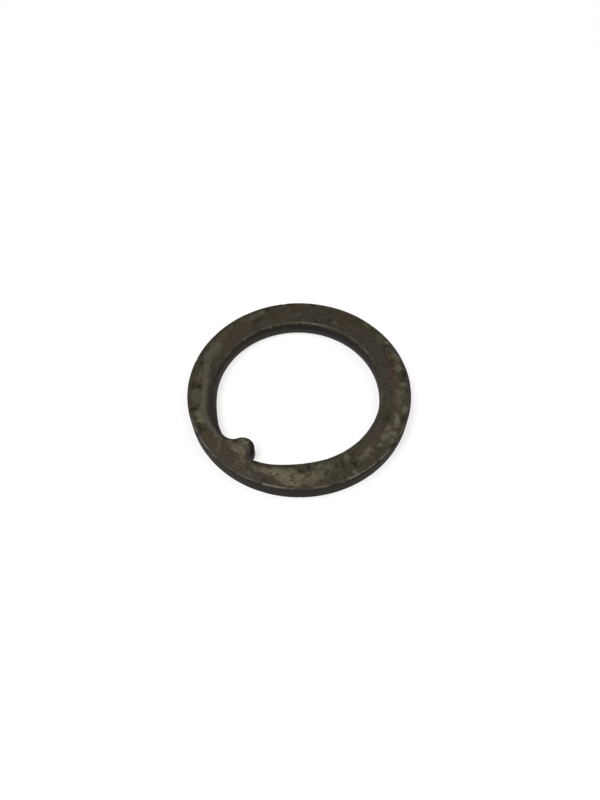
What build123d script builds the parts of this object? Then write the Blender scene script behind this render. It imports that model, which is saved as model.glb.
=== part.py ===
"""Keyed thrust washer: a flat steel ring with one half-round locating nub in its bore.

Millimetres, +Z up. The origin is the centre of the outer circle, on the bottom face.
The nub lies on the -Y side and the washer rests flat on its bottom face.
"""
import os
from math import radians, sqrt, tan

from build123d import *

# Ring
OUTER_RADIUS = 30.0
THICKNESS = 4.7
BORE_RADIUS = 22.2
BORE_OFFSET_X = -0.1  # the bore is punched a little off the outer circle's centre,
BORE_OFFSET_Y = -0.4  # mostly towards the nub

# Locating nub
NUB_RADIUS = 3.2
NUB_HEIGHT = 2.5  # how far its tip stands into the bore

# Relief that widens the bore on both sides of the nub
RELIEF_RADIUS = 16.55
RELIEF_DEPTH = 2.05  # how far it reaches past the bore
RELIEF_BLEND = 40.0  # radius of the arc by which the relief runs out into the bore
TIGHT_NECK_RADIUS = 0.8  # corner between nub and relief on the +X side
FULL_NECK_RADIUS = 3.3  # the same corner on the -X side, which is fuller

# Edge breaks
OUTER_TOP_CHAMFER = 0.4
OUTER_BOTTOM_CHAMFER = 0.3
BORE_TOP_CHAMFER = 0.7
BORE_BOTTOM_CHAMFER = 0.5

# Worn slope on the top face, along the bore on one side of the nub
WEAR_RADIUS = 19.0
WEAR_WIDTH = 3.1  # how far it reaches past the bore, at its widest
WEAR_ANGLE = 237.5  # direction of that widest point, counter-clockwise from +X
WEAR_SLOPE = 16.0  # angle below the top face
WEAR_DEPTH = 1.2  # depth at which the worn cone ends, inside the bore
WEAR_STOP = 17.0  # the slope ends this many degrees short of the nub's middle

# Centres, from the bore's own centre
NUB_CENTRE = Vector(0, NUB_HEIGHT - BORE_RADIUS - NUB_RADIUS)
RELIEF_CENTRE = Vector(0, RELIEF_RADIUS - BORE_RADIUS - RELIEF_DEPTH)
WEAR_CENTRE = Vector(BORE_RADIUS + WEAR_WIDTH - WEAR_RADIUS, 0).rotate(Axis.Z, WEAR_ANGLE)

BORE_CENTRE = Vector(BORE_OFFSET_X, BORE_OFFSET_Y)
TOUCHING = 0.001


def blend_centre():
    """Centre of the blend arc on the +X side, tangent inside to the bore and to the relief."""
    to_bore = RELIEF_BLEND - BORE_RADIUS
    to_relief = RELIEF_BLEND - RELIEF_RADIUS
    drop = RELIEF_CENTRE.length
    y = (to_relief**2 - to_bore**2 - drop**2) / (2 * drop)
    return Vector(-sqrt(to_bore**2 - y**2), y)


def widened_bore():
    """Bore and relief as one flat face, its arcs running smoothly into each other."""
    blend = blend_centre()
    on_bore = (-blend).normalized() * BORE_RADIUS
    outward = (RELIEF_CENTRE - blend).normalized()
    on_relief = RELIEF_CENTRE + outward * RELIEF_RADIUS
    between = blend + (on_bore + on_relief - blend * 2).normalized() * RELIEF_BLEND
    blend_arc = ThreePointArc(on_bore, between, on_relief)
    bore_top = Vector(0, BORE_RADIUS)
    relief_bottom = RELIEF_CENTRE - Vector(0, RELIEF_RADIUS)
    bore_arc = ThreePointArc(on_bore, bore_top, mirrored(on_bore))
    relief_arc = ThreePointArc(on_relief, relief_bottom, mirrored(on_relief))
    return make_face(Curve() + [bore_arc, blend_arc, relief_arc, mirror(blend_arc, Plane.YZ)])


def mirrored(point):
    """The same point on the other side of the nub's middle plane."""
    return Vector(-point.X, point.Y)


def on_circle(corners, centre, radius):
    """Corners of an outline that lie on one circle."""
    return corners.filter_by(
        lambda corner: abs((Vector(corner.X, corner.Y) - centre).length - radius) < TOUCHING
    )


def bore_outline():
    """Bore, relief and nub as one flat face, about the bore's centre."""
    outline = widened_bore() - Pos(NUB_CENTRE) * Circle(NUB_RADIUS)
    for side, radius in ((1, TIGHT_NECK_RADIUS), (-1, FULL_NECK_RADIUS)):
        on_nub = on_circle(outline.vertices(), NUB_CENTRE, NUB_RADIUS)
        necks = on_circle(on_nub, RELIEF_CENTRE, RELIEF_RADIUS)
        outline = fillet(necks.filter_by(lambda corner: corner.X * side > 0), radius)
    return outline


def worn_slope():
    """Shallow off-centre cone that takes the top edge off the bore, short of the nub."""
    foot_radius = WEAR_RADIUS - WEAR_DEPTH / tan(radians(WEAR_SLOPE))
    cone = Cone(foot_radius, WEAR_RADIUS, WEAR_DEPTH, align=(Align.CENTER, Align.CENTER, Align.MAX))
    worn_side = Rot(0, 0, -WEAR_STOP) * Box(
        OUTER_RADIUS, OUTER_RADIUS * 2, WEAR_DEPTH * 2, align=(Align.MAX, Align.CENTER, Align.CENTER)
    )
    return Pos(BORE_CENTRE) * Pos(0, 0, THICKNESS) * ((Pos(WEAR_CENTRE) * cone) & worn_side)


def edges_at(solid, height):
    """Edges that lie flat at one height, the outer circle last because it is the longest."""
    return solid.edges().filter_by_position(Axis.Z, height, height).sort_by(SortBy.LENGTH)


def ring():
    """The washer before wear: a bored disc with broken edges."""
    disc = Cylinder(OUTER_RADIUS, THICKNESS, align=(Align.CENTER, Align.CENTER, Align.MIN))
    washer = disc - extrude(Pos(BORE_CENTRE) * bore_outline(), THICKNESS)
    for height, outer, inner in (
        (THICKNESS, OUTER_TOP_CHAMFER, BORE_TOP_CHAMFER),
        (0, OUTER_BOTTOM_CHAMFER, BORE_BOTTOM_CHAMFER),
    ):
        washer = chamfer(edges_at(washer, height)[-1], outer)
        washer = chamfer(edges_at(washer, height)[:-1], inner)
    return washer


thrust_washer = ring() - worn_slope()
thrust_washer.label = "thrust_washer"

os.makedirs("parts", exist_ok=True)
export_step(thrust_washer, "parts/thrust_washer.step")
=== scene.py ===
import math

import bpy
import numpy as np
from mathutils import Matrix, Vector, noise
from mathutils.geometry import delaunay_2d_cdt


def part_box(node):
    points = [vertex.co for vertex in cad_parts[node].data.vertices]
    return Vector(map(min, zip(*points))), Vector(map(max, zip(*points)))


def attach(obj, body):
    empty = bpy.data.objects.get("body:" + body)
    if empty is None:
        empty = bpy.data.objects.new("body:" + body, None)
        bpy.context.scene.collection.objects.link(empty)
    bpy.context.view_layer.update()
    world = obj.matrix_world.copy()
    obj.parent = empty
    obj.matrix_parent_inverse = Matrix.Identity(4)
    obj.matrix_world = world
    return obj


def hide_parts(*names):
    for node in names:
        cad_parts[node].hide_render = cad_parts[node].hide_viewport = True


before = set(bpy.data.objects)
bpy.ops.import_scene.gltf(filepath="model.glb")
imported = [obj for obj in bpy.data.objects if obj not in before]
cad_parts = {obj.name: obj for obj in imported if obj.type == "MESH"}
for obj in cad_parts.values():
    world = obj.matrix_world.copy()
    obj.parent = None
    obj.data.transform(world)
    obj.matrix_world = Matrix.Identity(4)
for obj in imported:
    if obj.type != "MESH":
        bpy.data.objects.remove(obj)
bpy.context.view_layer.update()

# Lengths are in millimetres unless a name says otherwise, and MM turns them into metres.
MM = 0.001
NODE = "thrust_washer"

node_low, node_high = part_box(NODE)

# Ring, read from the frame
OUTER_RADIUS = (node_high.x - node_low.x) / 2 / MM
THICKNESS = (node_high.z - node_low.z) / MM

# Bore, nub and relief, as the construction has them
BORE_RADIUS = 22.2
BORE_CENTRE = np.array([-0.1, -0.4])
NUB_RADIUS = 3.2
NUB_HEIGHT = 2.5
RELIEF_RADIUS = 16.55
RELIEF_DEPTH = 2.05
RELIEF_BLEND = 40.0
TIGHT_NECK_RADIUS = 0.8
FULL_NECK_RADIUS = 3.3

NUB_CENTRE = np.array([0.0, NUB_HEIGHT - BORE_RADIUS - NUB_RADIUS])
RELIEF_CENTRE = np.array([0.0, RELIEF_RADIUS - BORE_RADIUS - RELIEF_DEPTH])

# Rolled edges: plan width of each, which is also its drop
OUTER_TOP_ROLL = 0.45
OUTER_BOTTOM_ROLL = 0.16
BORE_TOP_ROLL = 0.7
BORE_BOTTOM_ROLL = 0.5
NUB_EXTRA_ROLL = 0.15  # the edge rolls further round the nub and its necks
NUB_ROLL_REACH = 4.4
ROLL_CURVE = 1.7  # how quickly a rolled edge falls away

# Unevenness of the faces
TOP_SWELL = 0.03
TOP_RIPPLE = 0.015
BOTTOM_SWELL = 0.02

# Knocks along the edges
OUTER_DENTS = 26
BORE_DENTS = 12
DENT_SIZE = (0.25, 0.6)
DENT_DEPTH = (0.04, 0.12)

# Worn slope along the bore on the -X side of the nub
WEAR_RADIUS = 19.0
WEAR_WIDTH = 3.1
WEAR_ANGLE = 237.5
WEAR_SLOPE = 16.0
WEAR_STOP = 17.0
WEAR_FADE = 5.0  # degrees over which it dies out beside the nub
WEAR_SOFTNESS = 0.35
WEAR_REACH = 3.0  # how far outside its edge its softness is felt
WEAR_DIRECTION = np.array([math.cos(math.radians(WEAR_ANGLE)), math.sin(math.radians(WEAR_ANGLE))])
WEAR_CENTRE = WEAR_DIRECTION * (BORE_RADIUS + WEAR_WIDTH - WEAR_RADIUS)

# Mesh fineness
EDGE_STEP = 0.15
FACE_STEP = 0.34
BORE_RINGS = (0.0, 0.11, 0.22, 0.32, 0.42, 0.52, 0.64, 0.8, 1.05)
RIM_RINGS = (0.0, 0.08, 0.16, 0.24, 0.32, 0.4, 0.5, 0.75)
WALL_LEVELS = 7
BLOCK = 4000  # points whose distances are worked out together


# ---------------------------------------------------------------- outline of the bore

def heading(start, end):
    """Direction from one point to another, in radians."""
    return math.atan2(end[1] - start[1], end[0] - start[0])


def meeting(centre_a, radius_a, centre_b, radius_b, side):
    """Where two circles meet, on the +X or the -X side of the nub's middle line."""
    span = np.linalg.norm(centre_b - centre_a)
    along = (radius_a**2 - radius_b**2 + span**2) / (2 * span)
    off = math.sqrt(radius_a**2 - along**2)
    unit = (centre_b - centre_a) / span
    foot = centre_a + unit * along
    return foot + np.array([abs(unit[1]), 0.0]) * off * side


def arc_points(centre, radius, start, end, turn):
    """Points and into-the-metal directions along one arc; turn is 1 anticlockwise, -1 clockwise."""
    sweep = ((end - start) * turn) % (2 * math.pi)
    count = max(2, round(sweep * radius / EDGE_STEP))
    angles = start + turn * sweep * np.arange(count) / count
    unit = np.stack([np.cos(angles), np.sin(angles)], axis=1)
    return centre + unit * radius, unit * turn


def bore_loop():
    """The bore's whole outline, anticlockwise, with the direction into the metal at each point."""
    origin = np.zeros(2)
    blend = {
        side: meeting(
            origin, RELIEF_BLEND - BORE_RADIUS,
            RELIEF_CENTRE, RELIEF_BLEND - RELIEF_RADIUS, -side,
        )
        for side in (-1, 1)
    }
    neck_radius = {1: TIGHT_NECK_RADIUS, -1: FULL_NECK_RADIUS}
    neck = {
        side: meeting(
            RELIEF_CENTRE, RELIEF_RADIUS - neck_radius[side],
            NUB_CENTRE, NUB_RADIUS + neck_radius[side], side,
        )
        for side in (-1, 1)
    }
    to_bore = {side: heading(blend[side], origin) for side in (-1, 1)}
    to_relief = {side: heading(blend[side], RELIEF_CENTRE) for side in (-1, 1)}
    to_neck = {side: heading(RELIEF_CENTRE, neck[side]) for side in (-1, 1)}
    to_nub = {side: heading(neck[side], NUB_CENTRE) for side in (-1, 1)}
    arcs = (
        (origin, BORE_RADIUS, to_bore[1], to_bore[-1], 1),
        (blend[-1], RELIEF_BLEND, to_bore[-1], to_relief[-1], 1),
        (RELIEF_CENTRE, RELIEF_RADIUS, to_relief[-1], to_neck[-1], 1),
        (neck[-1], neck_radius[-1], to_neck[-1], to_nub[-1], 1),
        (NUB_CENTRE, NUB_RADIUS, to_nub[-1] + math.pi, to_nub[1] + math.pi, -1),
        (neck[1], neck_radius[1], to_nub[1], to_neck[1], 1),
        (RELIEF_CENTRE, RELIEF_RADIUS, to_neck[1], to_relief[1], 1),
        (blend[1], RELIEF_BLEND, to_relief[1], to_bore[1], 1),
    )
    parts = [arc_points(*arc) for arc in arcs]
    points = np.concatenate([p for p, _ in parts]) + BORE_CENTRE
    inward = np.concatenate([n for _, n in parts])
    return points, inward


def rim_loop():
    """The outer circle, anticlockwise, with the direction into the metal at each point."""
    count = round(2 * math.pi * OUTER_RADIUS / EDGE_STEP)
    angles = 2 * math.pi * np.arange(count) / count
    unit = np.stack([np.cos(angles), np.sin(angles)], axis=1)
    return unit * OUTER_RADIUS, -unit


# ---------------------------------------------------------------- heights of the two faces

def distance_to(points, loop):
    """Distance in plan from each point to a closed loop of close points."""
    nearest = np.empty(len(points))
    for first in range(0, len(points), BLOCK):
        block = points[first:first + BLOCK]
        gaps = block[:, None, :] - loop[None, :, :]
        nearest[first:first + BLOCK] = np.sqrt((gaps**2).sum(axis=2).min(axis=1))
    return nearest


def rolled(distance, width):
    """How far an edge of that width has rolled down, at a distance from it."""
    return width * np.clip(1 - distance / width, 0, 1)**ROLL_CURVE


def around_nub(points):
    """1 at the nub and its necks, falling to 0 away from them."""
    gap = np.linalg.norm(points - (NUB_CENTRE + BORE_CENTRE), axis=1)
    return np.exp(-(gap / NUB_ROLL_REACH)**4)


def worn_depth(points):
    """Depth of the worn slope below the top face."""
    local = points - BORE_CENTRE
    inside = WEAR_RADIUS - np.linalg.norm(local - WEAR_CENTRE, axis=1)
    soft = WEAR_SOFTNESS * np.logaddexp(0, inside / WEAR_SOFTNESS)
    from_nub = np.degrees(np.arctan2(-local[:, 0], -local[:, 1]))
    kept = np.clip((from_nub - WEAR_STOP + 3) / WEAR_FADE, 0, 1)
    kept = kept * kept * (3 - 2 * kept)
    return soft * math.tan(math.radians(WEAR_SLOPE)) * kept * (inside > -WEAR_REACH)


def swell(points, size, seed):
    """Slow unevenness between 0 and 1."""
    values = [noise.noise(Vector((x / size, y / size, seed))) for x, y in points]
    return 0.5 + 0.5 * np.clip(values, -1, 1)


def heights(points, from_bore, from_rim):
    """Height of the top face and of the bottom face at each point, and the top's worn depth."""
    nub = around_nub(points)
    bore_roll = BORE_TOP_ROLL + NUB_EXTRA_ROLL * nub
    rim_roll = OUTER_TOP_ROLL * (0.75 + 0.5 * swell(points, 6.0, 4.0))
    worn = worn_depth(points)
    uneven = TOP_SWELL * swell(points, 5.0, 1.0) + TOP_RIPPLE * swell(points, 1.3, 2.0)
    top = THICKNESS - uneven - worn - rolled(from_bore, bore_roll) - rolled(from_rim, rim_roll)
    bottom = BOTTOM_SWELL * swell(points, 5.0, 3.0)
    bottom += rolled(from_bore, BORE_BOTTOM_ROLL)
    bottom += rolled(from_rim, OUTER_BOTTOM_ROLL)
    return top, bottom, worn


# ---------------------------------------------------------------- the washer's mesh

def face_points(bore, rim):
    """Points that fill the flat of the ring between its two banks of edge rings."""
    random = np.random.default_rng(11)
    row = FACE_STEP * math.sqrt(3) / 2
    rows = int(OUTER_RADIUS / row) + 1
    columns = int(OUTER_RADIUS / FACE_STEP) + 1
    places = [
        (column * FACE_STEP + (line % 2) * FACE_STEP / 2, line * row)
        for line in range(-rows, rows + 1)
        for column in range(-columns, columns + 1)
    ]
    places = np.array(places)
    reach = np.linalg.norm(places, axis=1)
    widest = OUTER_RADIUS - RIM_RINGS[-1] - FACE_STEP * 0.6
    places = places[(reach < widest) & (reach > BORE_RADIUS - NUB_HEIGHT)]
    places = places + random.uniform(-0.2, 0.2, places.shape) * FACE_STEP
    inside = np.linalg.norm(places - BORE_CENTRE, axis=1) > BORE_RADIUS
    inside |= around_nub(places) > 0.2
    places = places[inside & (distance_to(places, bore) > BORE_RINGS[-1] + FACE_STEP * 0.6)]
    return places[metal_side(places, bore)]


def metal_side(places, loop):
    """True for the points that lie outside a closed loop."""
    following = np.roll(loop, -1, axis=0)
    crossings = np.zeros(len(places), int)
    for (x0, y0), (x1, y1) in zip(loop, following):
        if y0 == y1:
            continue
        level = (places[:, 1] >= min(y0, y1)) & (places[:, 1] < max(y0, y1))
        at = x0 + (places[:, 1] - y0) * (x1 - x0) / (y1 - y0)
        crossings += level & (at > places[:, 0])
    return crossings % 2 == 0


def plan_mesh():
    """Triangles of the ring in plan, with the bore's and the rim's points first."""
    bore, into_bore = bore_loop()
    rim, into_rim = rim_loop()
    banks = [bore, rim]
    banks += [bore + into_bore * step for step in BORE_RINGS[1:]]
    banks += [rim + into_rim * step for step in RIM_RINGS[1:]]
    banks.append(face_points(bore, rim))
    points = np.concatenate(banks)
    bore_ids = np.arange(len(bore))
    rim_ids = np.arange(len(rim)) + len(bore)
    edges = [
        (int(a), int(b))
        for ids in (bore_ids, rim_ids)
        for a, b in zip(ids, np.roll(ids, -1))
    ]
    found = delaunay_2d_cdt([Vector(p) for p in points.tolist()], edges, [], 0, 1e-7)
    made = np.array([tuple(v) for v in found[0]])
    if len(made) != len(points):
        raise RuntimeError("the plan's points don't match its triangles")
    triangles = np.array(found[2])
    middle = made[triangles].mean(axis=1)
    keep = metal_side(middle, bore) & (np.linalg.norm(middle, axis=1) < OUTER_RADIUS)
    return made, triangles[keep], bore_ids, rim_ids


def wall(ids, low, high, first_new, turn):
    """Quads of one wall, from its bottom points, ids + low, to its top points, ids + high."""
    levels = [ids + low]
    for level in range(1, WALL_LEVELS):
        levels.append(np.arange(len(ids)) + first_new + (level - 1) * len(ids))
    levels.append(ids + high)
    quads = []
    for under, over in zip(levels, levels[1:]):
        under_next, over_next = np.roll(under, -1), np.roll(over, -1)
        if turn > 0:
            quads.append(np.stack([under, under_next, over_next, over], axis=1))
        else:
            quads.append(np.stack([under, over, over_next, under_next], axis=1))
    return np.concatenate(quads)


def dents():
    """Small knocks along the edges: place, direction of the push, size and depth."""
    random = np.random.default_rng(5)
    found = []
    for _ in range(OUTER_DENTS):
        angle = random.uniform(0, 2 * math.pi)
        out = np.array([math.cos(angle), math.sin(angle), 0.0])
        top = random.random() < 0.75
        place = out * (OUTER_RADIUS - 0.1) + np.array([0, 0, THICKNESS - 0.15 if top else 0.15])
        push = -0.6 * out + np.array([0, 0, -1.0 if top else 1.0])
        found.append((place, push, random.uniform(*DENT_SIZE), random.uniform(*DENT_DEPTH)))
    for _ in range(BORE_DENTS):
        angle = random.uniform(-0.35, 1.25) * math.pi
        out = np.array([math.cos(angle), math.sin(angle), 0.0])
        place = out * BORE_RADIUS + np.array([*BORE_CENTRE, THICKNESS - 0.5])
        push = 0.5 * out + np.array([0, 0, -1.0])
        found.append((place, push, random.uniform(*DENT_SIZE), random.uniform(*DENT_DEPTH)))
    return found


def knocked(vertices):
    """The vertices with the dents pressed in."""
    moved = vertices.copy()
    for place, push, size, depth in dents():
        gap = np.linalg.norm((vertices - place) * np.array([1, 1, 0.8]), axis=1)
        share = np.exp(-(gap / size)**2) * (gap < 3 * size)
        moved += push * (depth * share)[:, None]
    return moved


def face_marks(plan, from_bore, from_rim):
    """How strongly each point of the top face is marked, by the name of the mark."""
    wander = wandering(plan, 1.3, 0.6, 8.0) + wandering(plan, 0.45, 0.25, 9.0)
    return {
        "rubbed_and_sheen": marked(plan, RUBBED_AND_SHEEN, wander),
        "browned": marked(plan, BROWNED, wander),
        "greyed": marked(plan, GREYED, wander),
        "polished_and_highlit": marked(plan, POLISHED_AND_HIGHLIT, wander * 0.6),
        "oiled": marked(plan, OILED, wander),
        "stained": marked(plan, STAINED, wander * 0.5),
        "grimed_edge": np.maximum(
            edge_stretch_line(plan, GRIMED_BORE, from_bore, 0.1, 0.25),
            edge_stretch_line(plan, GRIMED_RIM, from_rim, 0.0, 0.26),
        ),
        "worn_and_highlit_edge": np.maximum(
            edge_stretch_line(plan, BORE_EDGE_WEAR_AND_HIGHLIGHT, from_bore, 0.4, 0.1),
            edge_stretch_line(plan, RIM_EDGE_WEAR_AND_HIGHLIGHT, from_rim, 0.3, 0.12),
        ),
    }


def store(mesh, layers):
    """Keeps values at the mesh's points, for the material to read."""
    for name, values in layers.items():
        layer = mesh.attributes.new(name, "FLOAT", "POINT")
        layer.data.foreach_set("value", values.astype(np.float32))
    mesh.update()


def build_washer():
    """The washer as one closed mesh that also keeps how worn and how marked each point is."""
    plan, triangles, bore_ids, rim_ids = plan_mesh()
    count = len(plan)
    from_bore = distance_to(plan, plan[bore_ids])
    from_rim = OUTER_RADIUS - np.linalg.norm(plan, axis=1)
    top, bottom, worn = heights(plan, from_bore, from_rim)

    vertices = [np.column_stack([plan, top]), np.column_stack([plan, bottom])]
    edge = [np.minimum(from_bore, from_rim)] * 2
    wear = [worn, np.zeros(count)]
    faces = [triangles, triangles[:, ::-1] + count]
    total = 2 * count
    quads = []
    for ids, turn in ((bore_ids, -1), (rim_ids, 1)):
        quads.append(wall(ids, count, 0, total, turn))
        for level in range(1, WALL_LEVELS):
            share = level / WALL_LEVELS
            height = bottom[ids] + (top[ids] - bottom[ids]) * share
            vertices.append(np.column_stack([plan[ids], height]))
            edge.append(np.minimum(height - bottom[ids], top[ids] - height))
            wear.append(np.zeros(len(ids)))
        total += len(ids) * (WALL_LEVELS - 1)

    vertices = knocked(np.concatenate(vertices))
    span = np.linalg.norm(vertices[:, :2], axis=1)
    over = np.maximum(span / OUTER_RADIUS, 1)
    vertices[:, :2] /= over[:, None]
    vertices[:, 2] = np.clip(vertices[:, 2], 0, THICKNESS)

    mesh = bpy.data.meshes.new("washer")
    polygons = [face for group in faces + quads for face in group.tolist()]
    mesh.from_pydata((vertices * MM).tolist(), [], polygons)
    mesh.validate()
    mesh.polygons.foreach_set("use_smooth", [True] * len(mesh.polygons))
    layers = {"edge_distance": np.concatenate(edge), "worn_depth": np.concatenate(wear)}
    for name, cover in face_marks(plan, from_bore, from_rim).items():
        layers[name] = np.concatenate([cover, np.zeros(total - count)])
    store(mesh, layers)
    washer = bpy.data.objects.new("worn_thrust_washer", mesh)
    bpy.context.scene.collection.objects.link(washer)
    return washer


# ---------------------------------------------------------------- shader maths

class Wire:
    """One socket of a material, with arithmetic that adds nodes; with no socket, only a start."""

    def __init__(self, tree, socket=None):
        self.tree = tree
        self.socket = socket

    def node(self, kind, settings=(), inputs=(), output=0):
        """Adds a node: its settings first, then the values or links of its sockets."""
        made = self.tree.nodes.new(kind)
        for name, value in dict(settings).items():
            setattr(made, name, value)
        for name, value in dict(inputs).items():
            if isinstance(value, Wire):
                self.tree.links.new(value.socket, made.inputs[name])
            else:
                made.inputs[name].default_value = value
        return Wire(self.tree, made.outputs[output])

    def math(self, operation, *values):
        return self.node("ShaderNodeMath", {"operation": operation}, dict(enumerate(values)))

    def __add__(self, other):
        return self.math("ADD", self, other)

    def __radd__(self, other):
        return self.math("ADD", other, self)

    def __sub__(self, other):
        return self.math("SUBTRACT", self, other)

    def __rsub__(self, other):
        return self.math("SUBTRACT", other, self)

    def __mul__(self, other):
        return self.math("MULTIPLY", self, other)

    def __rmul__(self, other):
        return self.math("MULTIPLY", other, self)

    def __truediv__(self, other):
        return self.math("DIVIDE", self, other)

    def root(self):
        return self.math("SQRT", self)

    def size(self):
        return self.math("ABSOLUTE", self)

    def part(self, axis):
        """The x, y or z part of a place or direction, for axis 0, 1 or 2."""
        return self.node("ShaderNodeSeparateXYZ", {}, {0: self}, axis)

    def most(self, other):
        return self.math("MAXIMUM", self, other)

    def least(self, other):
        return self.math("MINIMUM", self, other)

    def step(self, low, high):
        """0 below low, 1 above high and smooth between; the other way round if high is smaller."""
        flipped = low > high
        made = self.node(
            "ShaderNodeMapRange",
            {"interpolation_type": "SMOOTHSTEP"},
            {"Value": self, "From Min": min(low, high), "From Max": max(low, high)},
        )
        return 1 - made if flipped else made

    def blend(self, other, share):
        """This colour turned into another by a share."""
        return self.node("ShaderNodeMix", {"data_type": "RGBA"}, {0: share, 6: self, 7: other}, 2)

    def colours(self, low, high):
        """A colour that goes from one to another as this value goes from 0 to 1."""
        return self.node("ShaderNodeMix", {"data_type": "RGBA"}, {0: self, 6: low, 7: high}, 2)

    def tint(self, factor):
        """This colour made lighter or darker by a factor."""
        return self.node("ShaderNodeVectorMath", {"operation": "SCALE"}, {0: self, "Scale": factor})


class Metal:
    """A material under construction, with the places and textures that its layers share."""

    def __init__(self, name):
        self.material = bpy.data.materials.new(name)
        self.material.use_nodes = True
        self.tree = self.material.node_tree
        self.shader = self.tree.nodes["Principled BSDF"]
        here = Wire(self.tree).node("ShaderNodeTexCoord", {}, {}, "Object")
        scale = {0: here, "Scale": 1 / MM}
        self.place = here.node("ShaderNodeVectorMath", {"operation": "SCALE"}, scale)
        self.x, self.y, self.z = (self.place.part(axis) for axis in range(3))

    def attribute(self, name):
        return self.place.node("ShaderNodeAttribute", {"attribute_name": name}, {}, "Fac")

    def grain(self, size, detail=3.0, roughness=0.55, seed=0.0, place=None):
        """Noise with features of about that size, from 0 to 1."""
        return self.place.node(
            "ShaderNodeTexNoise",
            {"noise_dimensions": "4D"},
            {"Vector": place or self.place, "W": seed, "Scale": 1 / size, "Detail": detail,
             "Roughness": roughness},
        )

    def along_ring(self, around, across, upward):
        """A place for grain drawn out along the ring; larger numbers give finer grain that way."""
        radius = (self.x * self.x + self.y * self.y).root()
        height = radius * across + self.z * upward
        place = (self.x / radius * around, self.y / radius * around, height)
        return self.place.node("ShaderNodeCombineXYZ", {}, dict(enumerate(place)))

    def finish(self, **inputs):
        for name, value in inputs.items():
            socket = self.shader.inputs[name.replace("_", " ")]
            if isinstance(value, Wire):
                self.tree.links.new(value.socket, socket)
            else:
                socket.default_value = value
        return self.material


def srgb(red, green, blue):
    """A colour given as display values from 0 to 255."""
    def linear(value):
        value /= 255
        return value / 12.92 if value <= 0.04045 else ((value + 0.055) / 1.055)**2.4
    return (linear(red), linear(green), linear(blue), 1.0)


DARK_BROWN = srgb(61, 54, 43)
DARK_OLIVE = srgb(62, 58, 46)
PURPLE_GREY = srgb(61, 56, 51)
FILM_BROWN = srgb(68, 57, 45)
STRAW = srgb(97, 91, 74)
POLISHED_HIGHLIGHT_GREY = srgb(88, 82, 71)
BLUE_BLACK = srgb(30, 30, 34)
OILED_GREEN = srgb(56, 56, 42)
PALE_FLECK = srgb(122, 121, 106)
BARE_METAL_HIGHLIGHT = srgb(128, 124, 116)
OIL_BLACK = srgb(25, 21, 13)
WALL_DARK = srgb(37, 32, 26)
WALL_REFLECTION_GREY = srgb(66, 62, 56)
SLOPE_SHADE_DARK = srgb(40, 38, 31)
SLOPE_SHADE_PURPLE = srgb(55, 48, 43)
MID_RADIUS = 26.0  # parts the bore's wall from the outer one


# ---------------------------------------------------------------- marks on the washer's faces

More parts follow.
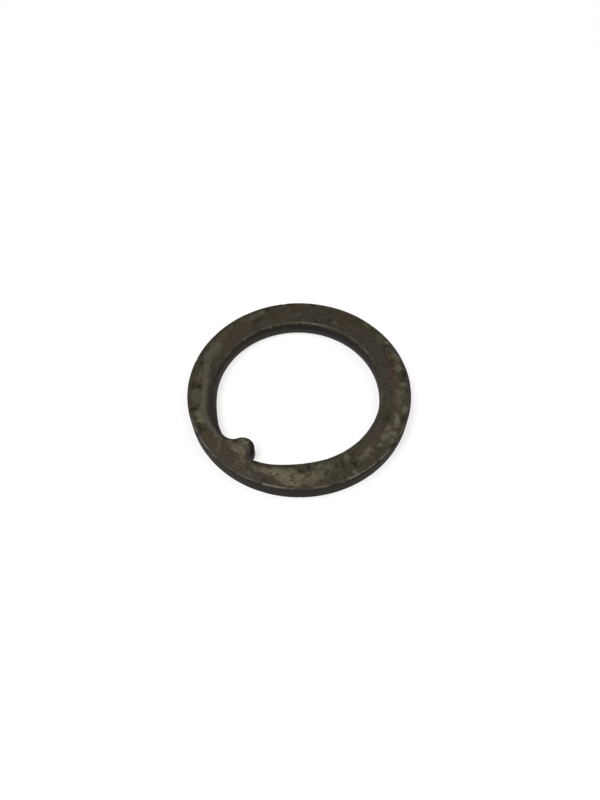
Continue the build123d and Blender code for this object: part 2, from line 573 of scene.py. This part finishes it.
# Marks on the top face, each: angle and radius of its middle, half its length along the ring, half its
# width across the ring, strength, and how far it leans (degrees, anticlockwise from along the ring).
RUBBED_AND_SHEEN = (  # metal rubbed pale grey and straw; the strong patches on the side nearest the camera, about 285° to 315°, are also painted sheen
    (6, 28.0, 2.2, 1.2, 0.9, 0), (3, 26.6, 1.4, 0.9, 0.7, 0), (9.5, 26.2, 1.6, 0.7, 0.6, -10),
    (15.5, 27.5, 2.2, 0.8, 1.0, 5), (19, 26.7, 1.4, 0.5, 0.5, 20), (24, 28.6, 1.4, 0.8, 0.6, 0),
    (29, 26.6, 2.2, 1.0, 0.35, 0), (34, 27.2, 1.6, 1.3, 0.4, 60), (39.5, 28.4, 1.0, 1.1, 0.85, 0),
    (51, 27.8, 1.7, 1.2, 0.8, 0), (59, 28.5, 1.9, 0.8, 0.75, 0), (59.5, 26.6, 1.4, 0.3, 0.3, -60),
    (69.5, 28.7, 0.9, 0.6, 0.95, 0), (75, 28.3, 1.6, 0.9, 0.3, 0), (86, 28.6, 1.4, 0.6, 0.4, 0),
    (102, 28.2, 1.2, 0.7, 0.2, 0), (103, 24.5, 0.8, 0.5, 0.4, 40),
    (129.5, 24.8, 1.5, 0.35, 0.25, 45), (151, 28.2, 1.3, 0.9, 0.45, 0),
    (156.5, 27.7, 2.0, 0.8, 0.35, 0), (163, 28.0, 1.0, 0.9, 0.3, 0), (174, 28.4, 1.8, 0.7, 0.2, 0),
    (208.5, 27.6, 0.9, 0.5, 0.3, 0), (212, 27.0, 1.6, 0.8, 0.3, 0), (236, 27.6, 1.6, 1.0, 0.6, 0),
    (240.5, 27.6, 1.4, 0.7, 0.7, 0), (259, 26.4, 2.2, 0.35, 0.4, -40),
    (262, 28.0, 1.2, 0.5, 0.25, 0), (263.5, 24.6, 1.4, 0.7, 0.5, -20),
    (267.5, 24.3, 1.9, 1.1, 0.95, 10), (271.5, 24.3, 1.5, 1.0, 0.9, -20),
    (268, 22.0, 1.5, 1.0, 0.6, 0), (272, 22.4, 1.2, 1.2, 0.45, 0), (276, 26.0, 1.6, 0.6, 0.4, -40),
    (276, 27.2, 1.8, 0.8, 0.25, 30), (282, 28.3, 1.6, 0.4, 0.35, -20),
    (286, 26.3, 1.8, 0.8, 0.6, 0), (290.5, 26.2, 1.8, 1.1, 0.85, -10),
    (295, 25.9, 1.8, 1.3, 1.0, 0), (299.5, 26.4, 2.0, 1.7, 1.0, 0), (303, 28.0, 1.6, 1.2, 0.85, 0),
    (304, 25.2, 1.6, 0.8, 0.8, -5), (307, 28.2, 1.4, 1.2, 0.95, 0), (308, 26.5, 1.4, 1.0, 0.75, 0),
    (314, 27.4, 2.2, 1.5, 0.65, 0), (315.5, 25.9, 1.2, 0.5, 0.4, 0), (319, 26.3, 1.6, 1.2, 0.6, 0),
    (320.5, 24.2, 1.4, 0.6, 0.6, 0), (325.5, 24.9, 1.4, 0.7, 0.6, 0),
    (330, 24.2, 1.0, 0.5, 0.45, 0), (337.5, 24.4, 0.9, 1.0, 0.65, 0),
    (337, 28.8, 0.6, 0.9, 0.7, 20), (344, 26.6, 1.0, 0.8, 0.35, 0),
    (348.5, 26.2, 1.9, 0.9, 0.75, 0), (352, 25.5, 1.0, 0.5, 0.5, 0),
    (357.5, 27.4, 1.1, 0.8, 0.6, 0), (43, 26.6, 2.0, 0.7, 0.2, 0),
)
POLISHED_AND_HIGHLIT = (  # smooth grey band outside the worn slope, with a rounded head; polished metal, painted lighter also as the highlight where the slope's rounded rim turns to the light
    (188.3, 26.9, 1.9, 1.7, 1.0, 0), (191.5, 25.8, 1.3, 1.1, 0.7, 0),
    (195, 27.2, 2.2, 1.4, 0.95, 5), (201, 26.6, 2.6, 1.1, 0.85, 8),
    (208.5, 25.8, 3.0, 0.9, 0.85, 6), (217, 25.4, 3.0, 0.8, 0.95, 0),
    (225.5, 25.4, 3.0, 0.8, 0.95, 0), (232.5, 26.0, 2.6, 0.9, 0.95, -4),
    (239, 26.4, 2.2, 1.0, 0.9, 0), (245, 26.0, 2.4, 0.6, 1.0, -6),
    (250.5, 25.8, 2.2, 0.42, 1.0, -8), (254, 25.5, 1.0, 0.32, 0.9, -8),
    (224.5, 27.5, 2.6, 1.3, 0.6, 0), (180, 27.8, 2.6, 1.2, 0.3, 0), (152, 28.0, 1.8, 0.9, 0.5, 0),
    (158, 27.6, 2.4, 0.9, 0.4, 0), (129, 25.0, 1.5, 0.35, 0.4, 45), (104, 24.4, 1.0, 0.5, 0.5, 30),
)
BROWNED = (  # thin brown film
    (1, 25.4, 3.2, 1.6, 0.5, 0), (30, 25.8, 5.0, 1.8, 0.8, 0), (46, 25.6, 4.0, 1.4, 0.6, 0),
    (61, 27.0, 2.0, 1.6, 0.5, 0), (84, 25.6, 2.4, 1.4, 0.4, 0), (94, 25.2, 3.0, 1.6, 0.6, 0),
    (100, 27.4, 1.4, 1.6, 0.5, 0), (130, 27.6, 3.2, 1.2, 0.5, 0), (140, 26.6, 3.6, 1.6, 0.6, 0),
    (166, 25.6, 5.0, 2.0, 0.9, 0), (177, 26.0, 3.6, 1.8, 0.7, 0), (213, 27.6, 2.0, 1.2, 0.5, 0),
    (257, 27.4, 4.4, 1.4, 0.9, 0), (263, 26.0, 2.2, 1.2, 0.6, 0), (276, 27.6, 3.2, 1.6, 0.8, 0),
    (318, 28.2, 2.2, 1.2, 0.5, 0), (329, 27.0, 2.2, 1.8, 0.5, 0), (345, 25.2, 2.4, 1.2, 0.6, 0),
    (356, 25.4, 2.6, 1.6, 0.8, 0), (352, 27.6, 2.2, 1.2, 0.3, 0),
)
GREYED = (  # smoother grey, faintly purple
    (28, 23.3, 4.0, 0.8, 0.6, 0), (40, 23.5, 5.0, 0.9, 0.8, 0), (54, 24.0, 4.4, 1.2, 0.9, 0),
    (68, 24.6, 4.6, 1.6, 0.9, 0), (80, 24.4, 4.4, 1.4, 0.8, 0), (92, 23.6, 4.0, 1.0, 0.5, 0),
    (66, 27.6, 1.6, 1.4, 0.5, 0), (112, 25.2, 3.6, 1.6, 0.7, 0), (126, 24.8, 3.4, 1.2, 0.6, 0),
    (136, 28.2, 3.0, 1.0, 0.7, 0), (150, 24.4, 3.0, 1.0, 0.5, 0), (195, 24.6, 3.0, 1.0, 0.4, 0),
    (215, 23.6, 4.0, 0.9, 0.6, 0), (232, 24.0, 4.4, 0.9, 0.9, 0), (244, 24.9, 2.6, 0.6, 0.9, -6),
    (223, 29.5, 2.6, 0.5, 0.9, 0), (358, 24.2, 2.2, 0.8, 0.7, 0), (11, 24.0, 3.0, 0.9, 0.6, 0),
    (288, 28.4, 3.0, 0.8, 0.7, 0), (266, 28.6, 3.0, 0.6, 0.4, 0),
)
OILED = (  # dark green oil film
    (92, 28.4, 1.6, 0.9, 0.8, 0), (79, 27.6, 1.8, 1.0, 0.7, 0), (72, 26.2, 1.4, 0.7, 0.5, 0),
    (116, 25.0, 1.6, 1.0, 0.8, 0), (109, 28.4, 1.4, 0.7, 0.4, 0), (128, 24.2, 1.8, 0.7, 0.5, 0),
    (155, 25.6, 1.8, 1.0, 0.7, 0), (162, 27.8, 1.0, 0.6, 0.6, 0), (176, 25.2, 1.4, 0.8, 0.4, 0),
    (198, 23.6, 2.4, 0.6, 0.6, 0), (218, 28.8, 1.6, 0.7, 0.9, 0), (205, 28.4, 2.0, 0.7, 0.5, 0),
    (244.5, 28.6, 2.4, 0.9, 0.9, 0), (55, 24.3, 1.8, 0.6, 0.7, 0), (17, 24.2, 2.2, 0.9, 0.9, 0),
    (47, 28.8, 1.4, 0.7, 0.6, 0), (355, 28.4, 2.0, 1.0, 0.8, 0), (1, 28.0, 1.4, 0.7, 0.5, 0),
    (337, 26.0, 2.4, 1.2, 0.6, 0), (329, 25.0, 2.0, 1.0, 0.5, 0), (313, 24.0, 1.6, 0.6, 0.7, 0),
    (273.5, 21.6, 1.6, 0.8, 0.9, -40), (9, 29.2, 2.2, 0.5, 0.6, 0), (31, 28.9, 2.0, 0.5, 0.5, 0),
)
STAINED = (  # near-black oil stains and scale in scratches
    (1.5, 29.5, 1.5, 0.5, 0.8, 0), (5.8, 28.3, 0.9, 0.2, 0.8, 60), (9.6, 27.9, 0.9, 0.2, 0.8, 110),
    (17.5, 28.9, 1.4, 0.4, 0.9, 0), (16, 25.1, 1.7, 0.3, 0.9, 5), (13.5, 24.3, 1.1, 0.25, 0.8, 0),
    (8, 25.2, 0.8, 0.2, 0.7, 0), (21.5, 26.2, 0.5, 0.2, 0.6, 0), (3.5, 28.4, 0.4, 0.3, 0.6, 0),
    (11.5, 28.2, 0.4, 0.3, 0.8, 0), (34.7, 24.7, 0.5, 0.35, 0.8, 0), (37.4, 24.5, 0.2, 0.5, 0.8, 0),
    (44.4, 24.9, 0.35, 0.5, 0.8, 0), (43, 28.1, 0.5, 0.25, 0.7, 0), (37, 29.0, 1.5, 0.25, 0.6, 0),
    (46.5, 28.9, 1.2, 0.7, 0.9, 0), (33, 27.8, 0.2, 0.8, 0.4, 0), (57, 26.9, 2.1, 0.25, 0.7, -70),
    (56, 24.4, 1.1, 0.5, 0.5, 0), (62, 27.5, 0.2, 0.7, 0.5, 0), (67.5, 27.2, 1.9, 0.3, 0.6, -60),
    (64.8, 26.5, 0.9, 0.5, 0.4, 0), (84, 24.2, 0.8, 0.35, 0.5, 0), (97, 23.2, 1.2, 0.3, 0.6, 0),
    (100.5, 25.4, 1.2, 0.3, 0.8, 10), (106.8, 24.7, 0.9, 0.35, 1.0, 0),
    (107.5, 23.8, 0.6, 0.4, 0.7, 0), (116.7, 23.2, 0.45, 0.4, 0.9, 0),
    (115.5, 26.5, 2.0, 0.35, 0.6, -8), (104.5, 27.8, 0.25, 1.2, 0.7, 0),
    (109, 27.4, 0.25, 0.8, 0.6, 0), (120.5, 29.0, 1.2, 0.5, 0.7, 0),
    (130, 26.6, 2.0, 0.5, 0.35, 15), (133, 29.0, 1.0, 0.6, 0.7, 0), (137, 27.8, 0.3, 0.6, 0.5, 0),
    (142, 29.2, 1.4, 0.4, 0.6, 0), (147.5, 28.5, 0.9, 0.6, 0.9, 0),
    (146.2, 26.8, 1.3, 0.2, 0.7, -70), (156, 26.1, 1.2, 0.45, 0.8, 0),
    (158.5, 25.3, 0.3, 0.7, 0.6, 20), (163.5, 25.6, 1.0, 0.2, 0.4, -45),
    (176, 29.3, 2.4, 0.3, 0.6, 0), (188.3, 27.7, 0.5, 0.3, 0.7, 0), (182, 29.2, 1.6, 0.3, 0.5, 0),
    (202, 28.0, 0.7, 0.5, 0.7, 0), (196, 29.2, 2.4, 0.35, 0.5, 0), (209.5, 27.9, 0.8, 0.2, 0.7, 0),
    (218, 27.0, 0.6, 1.0, 0.9, 10), (218, 28.6, 1.3, 0.7, 0.6, 0), (206, 24.1, 1.8, 0.25, 0.6, 0),
    (232.8, 28.5, 0.8, 0.9, 0.9, 0), (230.5, 27.5, 0.8, 0.2, 0.5, 0),
    (244.5, 28.5, 1.8, 0.6, 0.7, -5), (247, 27.7, 0.6, 0.3, 0.9, 0),
    (262, 23.4, 1.4, 0.32, 1.0, 28), (248, 24.7, 2.2, 0.25, 0.8, 8),
    (256.5, 24.9, 1.0, 0.2, 0.5, 0), (238, 25.0, 2.6, 0.25, 0.5, 4),
    (269.5, 25.7, 1.0, 0.2, 0.4, 0), (275.5, 22.1, 1.8, 0.4, 1.0, -46),
    (272.8, 20.6, 0.8, 0.35, 0.8, -20), (282.5, 25.2, 1.0, 0.3, 0.9, 0),
    (283.7, 27.4, 0.2, 0.4, 0.7, 0), (272, 28.0, 0.9, 0.4, 0.4, 0), (291, 28.7, 1.0, 0.4, 0.5, 0),
    (289, 25.0, 1.8, 0.2, 0.7, 0), (309, 24.9, 1.4, 0.3, 0.9, -8), (314, 24.2, 0.5, 0.8, 1.0, 20),
    (303, 23.8, 2.2, 0.2, 0.6, 0), (322.8, 26.7, 0.8, 0.15, 0.7, 0),
    (323.5, 26.2, 0.2, 0.4, 0.5, 0), (330, 25.2, 0.9, 0.25, 0.9, 75),
    (333.5, 25.6, 1.5, 0.22, 1.0, 85), (331, 28.8, 0.4, 0.4, 0.8, 0),
    (325.9, 28.2, 1.0, 0.18, 0.6, 80), (323.5, 28.6, 0.8, 0.18, 0.5, 60),
    (327.5, 27.6, 0.8, 0.2, 0.5, 70), (334, 28.2, 0.7, 0.4, 0.6, 0),
    (339.6, 27.0, 1.2, 0.4, 1.0, 65), (340.8, 24.9, 1.2, 0.2, 0.9, 85),
    (338.4, 26.3, 0.9, 0.22, 0.9, 120), (341.5, 28.0, 0.8, 0.3, 0.6, 0),
    (350, 26.8, 0.35, 0.2, 0.9, 0), (348.5, 25.9, 0.3, 0.2, 0.7, 0),
    (345.5, 24.0, 1.6, 0.25, 0.6, 0), (319.5, 27.8, 0.2, 0.4, 0.5, 0),
    (315, 26.4, 0.3, 0.3, 0.5, 0),
)
BORE_EDGE_WEAR_AND_HIGHLIGHT = (  # stretches where the bore's upper edge has been rubbed bright and carries a painted highlight: angle, half span, strength
    (34, 13, 0.8), (62, 4, 0.7), (72, 4, 0.6), (84, 4, 0.3), (107, 4, 0.4), (124, 16, 0.9),
    (152, 8, 0.8), (172, 10, 0.6), (190, 6, 0.4), (219, 4, 0.7), (228, 6, 0.4), (262, 3, 0.8),
)
RIM_EDGE_WEAR_AND_HIGHLIGHT = (  # the same for the outer edge
    (243, 7, 1.0), (256, 9, 1.0), (280, 10, 0.6), (296, 10, 1.0), (318, 8, 0.6), (338, 12, 1.0),
    (352, 8, 1.0), (10, 6, 0.6), (90, 10, 0.3), (118, 8, 0.4), (170, 12, 0.3),
)
GRIMED_BORE = (  # stretches where grime lies along the bore's upper edge
    (256, 8, 0.7), (292, 24, 0.95), (330, 24, 0.9), (0, 16, 0.8),
)
GRIMED_RIM = (  # the same for the outer edge
    (345, 20, 0.8), (20, 24, 0.8), (110, 40, 0.9), (175, 40, 0.9), (222, 24, 0.9), (252, 10, 0.7),
)


def marked(points, marks, wander):
    """How strongly each point is covered by soft marks whose outlines wander a little."""
    moved = points + wander
    cover = np.zeros(len(points))
    for angle, radius, along, across, strength, lean in marks:
        turn = math.radians(angle)
        outward = np.array([math.cos(turn), math.sin(turn)])
        gap = moved - outward * radius
        off = gap @ outward
        way = gap @ np.array([-outward[1], outward[0]])
        cos, sin = math.cos(math.radians(lean)), math.sin(math.radians(lean))
        reach = ((way * cos - off * sin) / along)**2 + ((way * sin + off * cos) / across)**2
        soft = np.clip((1.5 - reach) / 1.2, 0, 1)
        cover = 1 - (1 - cover) * (1 - strength * soft * soft * (3 - 2 * soft))
    return cover


def wandering(points, size, amount, seed):
    """A small shift of each point, so that marks get uneven outlines."""
    shifts = [noise.noise_vector(Vector((x / size, y / size, seed))) for x, y in points]
    return np.array(shifts)[:, :2] * amount


def edge_stretch_line(points, stretches, from_edge, place, width):
    """1 along the given stretches of an upper edge, in a line at a place on its roll."""
    angle = np.degrees(np.arctan2(points[:, 1], points[:, 0]))
    share = np.zeros(len(points))
    for middle, half, strength in stretches:
        gap = np.abs((angle - middle + 180) % 360 - 180)
        share = np.maximum(share, strength * np.clip(1.3 - gap / half, 0, 1))
    return share * np.exp(-((from_edge - place) / width)**2)



# ---------------------------------------------------------------- the washer's steel

def worn_steel():
    """Oil-darkened steel: brown and grey mottling, light worn patches partly painted as sheen, stains, and
    bright edges that are partly painted highlights; painted shade on the worn slope and a painted
    reflection low on the bore's wall.
    """
    metal = Metal("worn_steel")
    edge = metal.attribute("edge_distance")
    slope = metal.attribute("worn_depth").step(0.08, 0.4)
    normal = metal.place.node("ShaderNodeNewGeometry", {}, {}, "Normal")
    up = normal.part(2)
    side = up.size().step(0.65, 0.2)
    under = up.step(-0.2, -0.6)

    # Grain at each size, from clouds some millimetres across down to specks
    cloud = metal.grain(7.0, 3.0, 0.6, seed=1.0)
    mottle = metal.grain(1.4, 4.0, 0.68, seed=2.0)
    fine = metal.grain(0.5, 3.0, 0.65, seed=3.0)
    speck = metal.grain(0.62, 2.0, 0.5, seed=4.0)
    film = metal.grain(2.6, 3.0, 0.6, seed=6.0)
    flake = metal.grain(0.5, 2.0, 0.6, seed=9.0)
    streak = metal.grain(1.0, 3.0, 0.6, seed=10.0, place=metal.along_ring(9.0, 2.6, 0.8))
    scrape = metal.grain(1.0, 3.0, 0.6, seed=12.0, place=metal.along_ring(14.0, 0.5, 2.2))

    # Faces: films and mottling, then what is rubbed, oiled and polished; the rubbed patches also carry
    # painted sheen and the polished band a painted highlight
    steel = cloud.step(0.42, 0.6).colours(DARK_BROWN, DARK_OLIVE)
    steel = steel.blend(PURPLE_GREY, film.step(0.5, 0.66) * 0.6)
    steel = steel.blend(FILM_BROWN, (metal.attribute("browned") + 0.5 * under).least(1) * 0.8)
    steel = steel.blend(PURPLE_GREY, metal.attribute("greyed") * 0.85)
    rubbed_and_sheen = metal.attribute("rubbed_and_sheen")
    polished_and_highlit = metal.attribute("polished_and_highlit")
    # painted sheen: the strong straw patches on the near side stand for reflected light as well as wear
    steel = steel.blend(STRAW, (rubbed_and_sheen * (0.5 + mottle)).least(1) * 0.9)
    steel = steel.blend(OILED_GREEN, metal.attribute("oiled") * (0.5 + mottle).least(1))
    steel = steel.tint(1.1 * mottle + 1.25 * fine - 0.16)
    # painted highlight: the polished band is lightest beside the worn slope, where its rounded rim would
    # catch the light
    steel = steel.blend(POLISHED_HIGHLIGHT_GREY, (polished_and_highlit * (0.4 + 0.7 * mottle + 0.5 * fine)).least(1) * 0.85)
    flecks = flake.step(0.56, 0.66) * (rubbed_and_sheen - 0.3).most(0)
    steel = steel.blend(PALE_FLECK, flecks)

    # Worn slope in painted shade, stains and pits
    stain = metal.attribute("stained") * fine.step(0.2, 0.55)
    pits = speck.step(0.58, 0.66) * (0.35 + 0.65 * rubbed_and_sheen).least(1)
    # painted shade: the worn slope leans away from the key lamp, and its dark streaked colour stands in for
    # the shade on it
    slope_shade_colour = streak.step(0.4, 0.6).colours(SLOPE_SHADE_DARK, SLOPE_SHADE_PURPLE)
    steel = steel.blend(slope_shade_colour, slope * 0.9)
    steel = steel.blend(OIL_BLACK, stain.most(pits) * 0.9)

    # Walls: dark, with the lower part, mostly on the bore's wall, painted lighter as a painted reflection
    # of the white table; a dark blue band high on the +Y side of the bore, dark streaks, and grime along
    # the upper edges
    inside = (metal.x * metal.x + metal.y * metal.y).step((MID_RADIUS + 0.5)**2, (MID_RADIUS - 0.5)**2)
    # painted reflection: the lighter grey low on the bore's wall stands in for the white table's light
    # reflected there
    painted_reflection = (metal.z + streak * 1.6).step(3.9, 2.6) * (0.15 + 0.85 * inside)
    wall = painted_reflection.colours(WALL_DARK, WALL_REFLECTION_GREY)
    wall = wall.blend(OIL_BLACK, scrape.step(0.56, 0.68) * 0.6)
    height = metal.z + streak
    # a dark blue band across the upper part of the bore's wall, on its +Y side
    far_wall_band = height.step(2.2, 2.6) * height.step(4.4, 3.9) * metal.y.step(12, 20) * inside
    wall = wall.blend(BLUE_BLACK, far_wall_band * 0.8)
    wall = wall.tint(0.5 + 0.6 * scrape + 0.4 * fine)
    steel = steel.blend(wall, side * (0.75 + 0.2 * cloud))
    steel = steel.blend(OIL_BLACK, metal.attribute("grimed_edge") * fine.step(0.2, 0.4) * 0.85)

    # Upper edges rubbed bright, with painted highlight lines along them
    # painted highlight: a thin light line along every upper edge, where the rolled edge would catch the
    # light
    bright = edge.step(0.45, 0.12) * (1 - side) * mottle.step(0.5, 0.66) * 0.25
    bright = bright.most(metal.attribute("worn_and_highlit_edge") * scrape.step(0.4, 0.56))
    steel = steel.blend(BARE_METAL_HIGHLIGHT, bright)

    roughness = 0.46 + 0.2 * mottle + 0.12 * stain - 0.12 * bright - 0.06 * polished_and_highlit
    relief = metal.grain(0.45, 4.0, 0.6, seed=5.0) * 0.6 + mottle * 0.5
    relief = relief - pits * 0.7 + scrape * side * 0.6
    depth = {"Strength": 0.3, "Distance": 0.05 * MM, "Height": relief}
    bump = relief.node("ShaderNodeBump", {}, depth)
    return metal.finish(
        Base_Color=steel,
        Metallic=0.5 - 0.3 * side,
        Roughness=roughness + 0.15 * side,
        Specular_IOR_Level=0.12,
        Normal=bump,
    )


# ---------------------------------------------------------------- floor, lamps and camera

CAMERA_AZIMUTH = 38.5  # degrees round from the front, towards +X
CAMERA_ELEVATION = 57.2
CAMERA_DISTANCE = 5.544 * OUTER_RADIUS
CAMERA_AIM = (0.007, -0.041)  # right of and nearer than the washer's middle, in outer radii
LENS = 27.2
WHITE = (1, 1, 1, 1)
AMBIENT = 0.3  # strength of the even light from all round
FLOOR_SIZE = 2.0  # this and the next two in metres
SHADOW_REACH = 0.12  # the floor holds a shadow within this radius
PLAIN_FROM = 0.3  # and is plain white from here on
NEAR_GLOW = 0.65  # share of plain white near the washer; the rest takes the light
TABLE_GREY = (0.8, 0.8, 0.8, 1)  # what the washer's underside and walls get light from
LAMPS = (  # name; place to the right, away and up in metres; size in metres; watts
    ("key", (-0.35, -0.12, 0.85), 0.5, 6.0),
    ("fill", (0.45, 0.05, 0.8), 0.6, 2.6),
)


def turned(x, y):
    """A plan place given to the camera's right and away from it, in the washer's own frame."""
    cos, sin = math.cos(math.radians(CAMERA_AZIMUTH)), math.sin(math.radians(CAMERA_AZIMUTH))
    return x * cos - y * sin, x * sin + y * cos


def add_camera():
    rise = math.radians(CAMERA_ELEVATION)
    distance = CAMERA_DISTANCE * MM
    x, y = turned(0, -distance * math.cos(rise))
    data = bpy.data.cameras.new("camera")
    data.lens = LENS
    data.clip_start, data.clip_end = 0.005, 20
    camera = bpy.data.objects.new("camera", data)
    camera.location = (x, y, distance * math.sin(rise))
    aim = Vector((*turned(*(part * OUTER_RADIUS * MM for part in CAMERA_AIM)), 0))
    camera.rotation_mode = "QUATERNION"
    camera.rotation_quaternion = (aim - camera.location).to_track_quat("-Z", "Y")
    bpy.context.scene.collection.objects.link(camera)
    bpy.context.scene.camera = camera


def add_lamp(name, place, size, power):
    """A square soft box that looks at the washer; place is right, away and up, in metres."""
    data = bpy.data.lights.new(name, "AREA")
    data.shape = "SQUARE"
    data.size = size
    data.energy = power
    lamp = bpy.data.objects.new(name, data)
    right, away, height = place
    lamp.location = (*turned(right, away), height)
    lamp.rotation_mode = "QUATERNION"
    lamp.rotation_quaternion = (-lamp.location).to_track_quat("-Z", "Y")
    bpy.context.scene.collection.objects.link(lamp)


def seen_or_mirrored(wire):
    """1 for rays that come straight from the camera, by way of a gloss or through glass."""
    rays = [wire.node("ShaderNodeLightPath", {}, {}, name)
            for name in ("Is Camera Ray", "Is Glossy Ray", "Is Transmission Ray")]
    return rays[0].most(rays[1]).most(rays[2])


def cleared(owner, output):
    """A start for the nodes of a material or world, and the input that takes its shader."""
    owner.use_nodes = True
    owner.node_tree.nodes.clear()
    return Wire(owner.node_tree), owner.node_tree.nodes.new(output).inputs["Surface"]


def add_floor():
    """White table: it reads as plain white to the camera, and keeps the washer's shadow."""
    half = FLOOR_SIZE / 2
    corners = [(-half, -half, 0), (half, -half, 0), (half, half, 0), (-half, half, 0)]
    mesh = bpy.data.meshes.new("floor")
    mesh.from_pydata(corners, [], [(0, 1, 2, 3)])
    floor = bpy.data.objects.new("floor", mesh)
    bpy.context.scene.collection.objects.link(floor)
    material = bpy.data.materials.new("white_table")
    start, surface = cleared(material, "ShaderNodeOutputMaterial")
    paint = start.node("ShaderNodeBsdfDiffuse", {}, {"Color": TABLE_GREY})
    white = start.node("ShaderNodeBsdfDiffuse", {}, {"Color": WHITE})
    glow = start.node("ShaderNodeEmission", {}, {"Color": WHITE, "Strength": 1.0})
    place = start.node("ShaderNodeNewGeometry", {}, {}, "Position")
    x, y = place.part(0), place.part(1)
    beyond = (x * x + y * y).step(SHADOW_REACH**2, PLAIN_FROM**2)
    share = NEAR_GLOW + (1 - NEAR_GLOW) * beyond
    lit = start.node("ShaderNodeMixShader", {}, {0: share, 1: white, 2: glow})
    shown = start.node("ShaderNodeMixShader", {}, {0: seen_or_mirrored(start), 1: paint, 2: lit})
    start.tree.links.new(shown.socket, surface)
    mesh.materials.append(material)


def add_world():
    """Pale surroundings: white to the camera, a soft even grey as light."""
    world = bpy.data.worlds.new("studio")
    start, surface = cleared(world, "ShaderNodeOutputWorld")
    ambient = start.node("ShaderNodeBackground", {}, {"Color": WHITE, "Strength": AMBIENT})
    white = start.node("ShaderNodeBackground", {}, {"Color": WHITE, "Strength": 1.0})
    ray = start.node("ShaderNodeLightPath", {}, {}, "Is Camera Ray")
    shown = start.node("ShaderNodeMixShader", {}, {0: ray, 1: ambient, 2: white})
    start.tree.links.new(shown.socket, surface)
    bpy.context.scene.world = world


bpy.context.scene.view_settings.view_transform = "Standard"
add_camera()
add_world()
add_floor()
for lamp in LAMPS:
    add_lamp(*lamp)

washer = build_washer()
washer.data.materials.append(worn_steel())
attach(washer, "root")
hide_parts(NODE)
